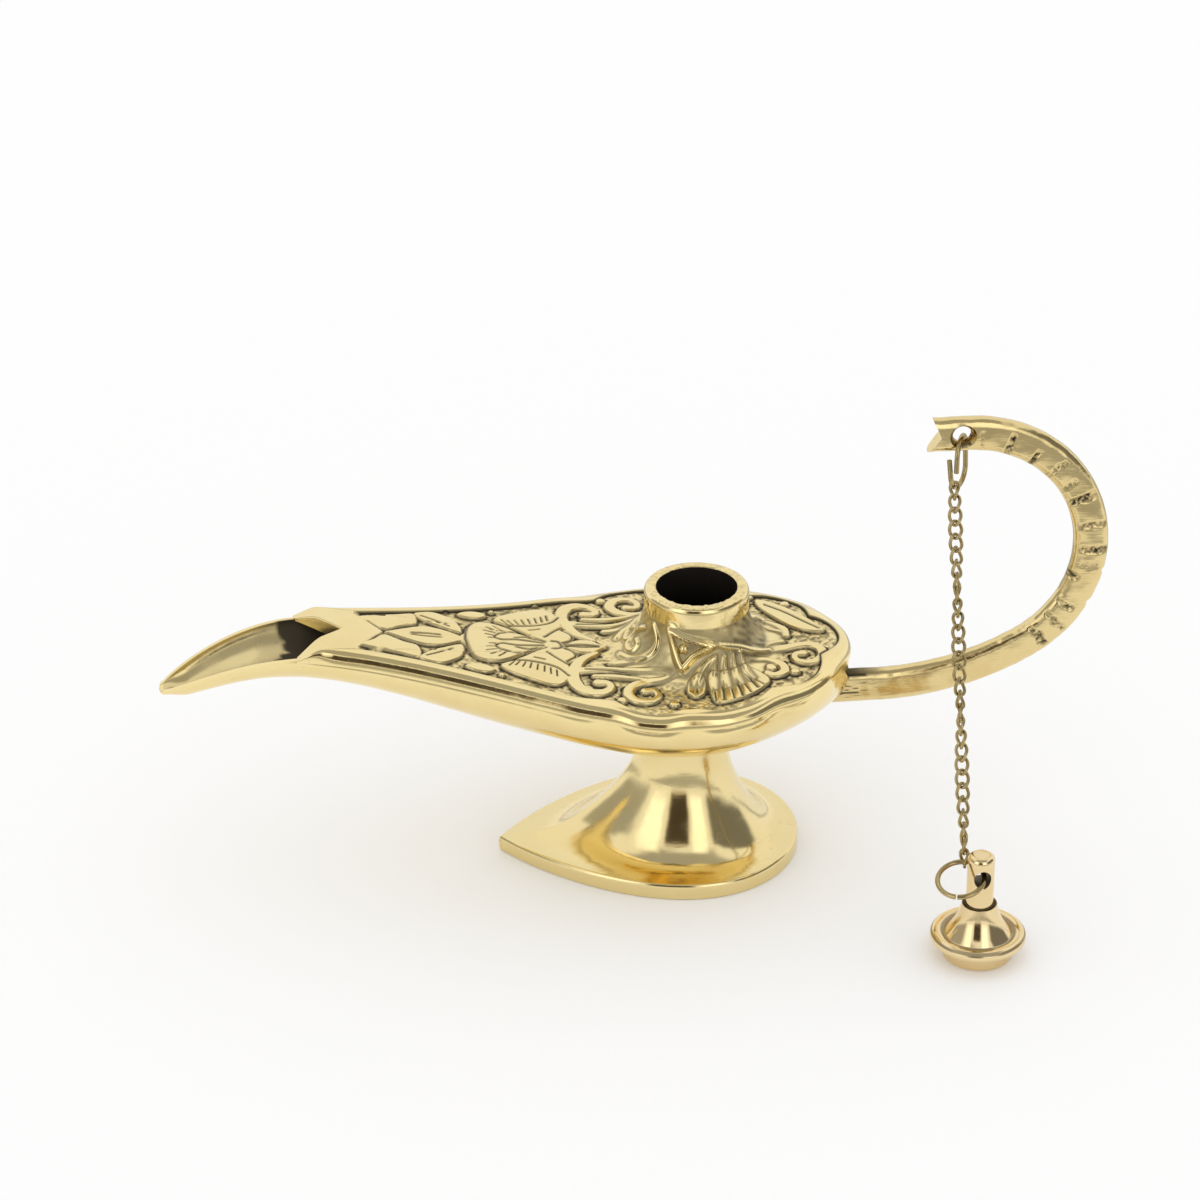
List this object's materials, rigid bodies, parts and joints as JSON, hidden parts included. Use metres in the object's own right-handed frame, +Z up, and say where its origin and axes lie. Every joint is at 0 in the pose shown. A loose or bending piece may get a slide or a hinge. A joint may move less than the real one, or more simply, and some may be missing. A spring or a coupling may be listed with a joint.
{
  "type": "genie oil lamp",
  "caption": "Low cast brass oil lamp with a long open spout, engraved deck with a round mouth, leaf-shaped foot, hooked handle and a stopper on a curb chain.",
  "frame": {"origin": "on the table under the middle of the pedestal, in the foot's flat underside", "axes": "+X towards the handle, -X towards the spout, +Z up, -Y towards the viewer and the standing stopper"},
  "size_m": [0.1504, 0.0682, 0.0742],
  "materials": {
    "polished_brass": "polished, dark in the engraving",
    "aged_brass": "dull, aged"
  },
  "bodies": {
    "lamp": {"bowl": "polished_brass", "deck": "polished_brass", "foot": "polished_brass", "foot_screw": "polished_brass", "handle": "polished_brass"},
    "top_ring": {"top_ring": "aged_brass"},
    "chain_link_01": {"chain_link_01": "aged_brass"},
    "chain_link_02": {"chain_link_02": "aged_brass"},
    "chain_link_03": {"chain_link_03": "aged_brass"},
    "chain_link_04": {"chain_link_04": "aged_brass"},
    "chain_link_05": {"chain_link_05": "aged_brass"},
    "chain_link_06": {"chain_link_06": "aged_brass"},
    "chain_link_07": {"chain_link_07": "aged_brass"},
    "chain_link_08": {"chain_link_08": "aged_brass"},
    "chain_link_09": {"chain_link_09": "aged_brass"},
    "chain_link_10": {"chain_link_10": "aged_brass"},
    "chain_link_11": {"chain_link_11": "aged_brass"},
    "chain_link_12": {"chain_link_12": "aged_brass"},
    "chain_link_13": {"chain_link_13": "aged_brass"},
    "chain_link_14": {"chain_link_14": "aged_brass"},
    "chain_link_15": {"chain_link_15": "aged_brass"},
    "chain_link_16": {"chain_link_16": "aged_brass"},
    "chain_link_17": {"chain_link_17": "aged_brass"},
    "chain_link_18": {"chain_link_18": "aged_brass"},
    "chain_link_19": {"chain_link_19": "aged_brass"},
    "chain_link_20": {"chain_link_20": "aged_brass"},
    "chain_link_21": {"chain_link_21": "aged_brass"},
    "chain_link_22": {"chain_link_22": "aged_brass"},
    "chain_link_23": {"chain_link_23": "aged_brass"},
    "chain_link_24": {"chain_link_24": "aged_brass"},
    "chain_link_25": {"chain_link_25": "aged_brass"},
    "chain_link_26": {"chain_link_26": "aged_brass"},
    "chain_link_27": {"chain_link_27": "aged_brass"},
    "chain_link_28": {"chain_link_28": "aged_brass"},
    "chain_link_29": {"chain_link_29": "aged_brass"},
    "bottom_ring": {"bottom_ring": "aged_brass"},
    "stopper": {"stopper_cap": "polished_brass", "stopper_post": "polished_brass"}
  },
  "joints": [
    {"name": "top_ring_swing", "type": "hinge", "parent": "lamp", "child": "top_ring", "pos_m": [0.0432, 0, 0.07139], "axis": [0, 1, 0], "range_deg": [-45, 45]},
    {"name": "link_01_swing", "type": "hinge", "parent": "top_ring", "child": "chain_link_01", "pos_m": [0.04213, -0.00134, 0.06273], "axis": [0.4942, 0.6705, -0.5534], "range_deg": [-30, 20]},
    {"name": "link_02_swing", "type": "hinge", "parent": "chain_link_01", "child": "chain_link_02", "pos_m": [0.04207, -0.00206, 0.0617], "axis": [0.9815, -0.177, 0.0729], "range_deg": [-30, 30]},
    {"name": "link_03_swing", "type": "hinge", "parent": "chain_link_02", "child": "chain_link_03", "pos_m": [0.04195, -0.00362, 0.05949], "axis": [-0.12, 0.8139, -0.5685], "range_deg": [-30, 30]},
    {"name": "link_04_swing", "type": "hinge", "parent": "chain_link_03", "child": "chain_link_04", "pos_m": [0.04189, -0.00442, 0.05835], "axis": [-0.8874, -0.353, 0.2964], "range_deg": [-30, 30]},
    {"name": "link_05_swing", "type": "hinge", "parent": "chain_link_04", "child": "chain_link_05", "pos_m": [0.04178, -0.00599, 0.05614], "axis": [-0.7064, 0.5953, -0.3829], "range_deg": [-30, 30]},
    {"name": "link_06_swing", "type": "hinge", "parent": "chain_link_05", "child": "chain_link_06", "pos_m": [0.04172, -0.00679, 0.05501], "axis": [-0.4153, -0.7325, 0.5394], "range_deg": [-30, 30]},
    {"name": "link_07_swing", "type": "hinge", "parent": "chain_link_06", "child": "chain_link_07", "pos_m": [0.0416, -0.00835, 0.0528], "axis": [0.9918, -0.123, 0.0342], "range_deg": [-30, 30]},
    {"name": "link_08_swing", "type": "hinge", "parent": "chain_link_07", "child": "chain_link_08", "pos_m": [0.04154, -0.00915, 0.05166], "axis": [-0.2339, 0.8, -0.5526], "range_deg": [-30, 30]},
    {"name": "link_09_swing", "type": "hinge", "parent": "chain_link_08", "child": "chain_link_09", "pos_m": [0.04142, -0.01071, 0.04945], "axis": [0.8546, 0.4016, -0.329], "range_deg": [-30, 30]},
    {"name": "link_10_swing", "type": "hinge", "parent": "chain_link_09", "child": "chain_link_10", "pos_m": [0.04136, -0.01151, 0.04832], "axis": [-0.7834, 0.5266, -0.3303], "range_deg": [-30, 30]},
    {"name": "link_11_swing", "type": "hinge", "parent": "chain_link_10", "child": "chain_link_11", "pos_m": [0.04124, -0.01308, 0.0461], "axis": [-0.3533, -0.7552, 0.5521], "range_deg": [-30, 30]},
    {"name": "link_12_swing", "type": "hinge", "parent": "chain_link_11", "child": "chain_link_12", "pos_m": [0.04118, -0.01388, 0.04497], "axis": [0.999, -0.0288, -0.0327], "range_deg": [-30, 30]},
    {"name": "link_13_swing", "type": "hinge", "parent": "chain_link_12", "child": "chain_link_13", "pos_m": [0.04106, -0.01544, 0.04276], "axis": [0.2986, -0.787, 0.5399], "range_deg": [-30, 30]},
    {"name": "link_14_swing", "type": "hinge", "parent": "chain_link_13", "child": "chain_link_14", "pos_m": [0.041, -0.01624, 0.04162], "axis": [0.7891, 0.4813, -0.3818], "range_deg": [-30, 30]},
    {"name": "link_15_swing", "type": "hinge", "parent": "chain_link_14", "child": "chain_link_15", "pos_m": [0.04089, -0.0178, 0.03941], "axis": [-0.8232, 0.4834, -0.2977], "range_deg": [-30, 30]},
    {"name": "link_16_swing", "type": "hinge", "parent": "chain_link_15", "child": "chain_link_16", "pos_m": [0.04083, -0.0186, 0.03828], "axis": [-0.2429, -0.7862, 0.5682], "range_deg": [-30, 30]},
    {"name": "link_17_swing", "type": "hinge", "parent": "chain_link_16", "child": "chain_link_17", "pos_m": [0.04071, -0.02016, 0.03607], "axis": [-0.9971, -0.0261, 0.0714], "range_deg": [-30, 30]},
    {"name": "link_18_swing", "type": "hinge", "parent": "chain_link_17", "child": "chain_link_18", "pos_m": [0.04065, -0.02097, 0.03493], "axis": [0.4068, -0.7562, 0.5125], "range_deg": [-30, 30]},
    {"name": "link_19_swing", "type": "hinge", "parent": "chain_link_18", "child": "chain_link_19", "pos_m": [0.04053, -0.02253, 0.03272], "axis": [0.7461, 0.5245, -0.4101], "range_deg": [-30, 30]},
    {"name": "link_20_swing", "type": "hinge", "parent": "chain_link_19", "child": "chain_link_20", "pos_m": [0.04047, -0.02333, 0.03159], "axis": [-0.8832, 0.404, -0.2384], "range_deg": [-30, 30]},
    {"name": "link_21_swing", "type": "hinge", "parent": "chain_link_20", "child": "chain_link_21", "pos_m": [0.04035, -0.02489, 0.02938], "axis": [0.1772, 0.7994, -0.574], "range_deg": [-30, 30]},
    {"name": "link_22_swing", "type": "hinge", "parent": "chain_link_21", "child": "chain_link_22", "pos_m": [0.04029, -0.02569, 0.02824], "axis": [-0.9832, -0.1204, 0.1373], "range_deg": [-30, 30]},
    {"name": "link_23_swing", "type": "hinge", "parent": "chain_link_22", "child": "chain_link_23", "pos_m": [0.04018, -0.02725, 0.02603], "axis": [0.4672, -0.7337, 0.4934], "range_deg": [-30, 30]},
    {"name": "link_24_swing", "type": "hinge", "parent": "chain_link_23", "child": "chain_link_24", "pos_m": [0.04012, -0.02805, 0.0249], "axis": [0.6643, 0.5935, -0.4544], "range_deg": [-30, 30]},
    {"name": "link_25_swing", "type": "hinge", "parent": "chain_link_24", "child": "chain_link_25", "pos_m": [0.04, -0.02962, 0.02268], "axis": [0.9125, -0.3554, 0.2025], "range_deg": [-30, 30]},
    {"name": "link_26_swing", "type": "hinge", "parent": "chain_link_25", "child": "chain_link_26", "pos_m": [0.03994, -0.03042, 0.02155], "axis": [0.0623, 0.8137, -0.578], "range_deg": [-30, 30]},
    {"name": "link_27_swing", "type": "hinge", "parent": "chain_link_26", "child": "chain_link_27", "pos_m": [0.03982, -0.03198, 0.01934], "axis": [-0.9691, -0.1744, 0.1746], "range_deg": [-30, 30]},
    {"name": "link_28_swing", "type": "hinge", "parent": "chain_link_27", "child": "chain_link_28", "pos_m": [0.03976, -0.03278, 0.0182], "axis": [0.5662, -0.6872, 0.4552], "range_deg": [-30, 30]},
    {"name": "link_29_swing", "type": "hinge", "parent": "chain_link_28", "child": "chain_link_29", "pos_m": [0.03964, -0.03434, 0.01599], "axis": [-0.6127, -0.6299, 0.4774], "range_deg": [-30, 30]},
    {"name": "bottom_ring_swing", "type": "hinge", "parent": "chain_link_29", "child": "bottom_ring", "pos_m": [0.03955, -0.03552, 0.01432], "axis": [0.3216, 0.7653, -0.5576], "range_deg": [-20, 40]},
    {"name": "stopper_swing", "type": "hinge", "parent": "bottom_ring", "child": "stopper", "pos_m": [0.04161, -0.03804, 0.0145], "axis": [-0.135, 0.9609, 0.2419], "range_deg": [-25, 40]}
  ]
}
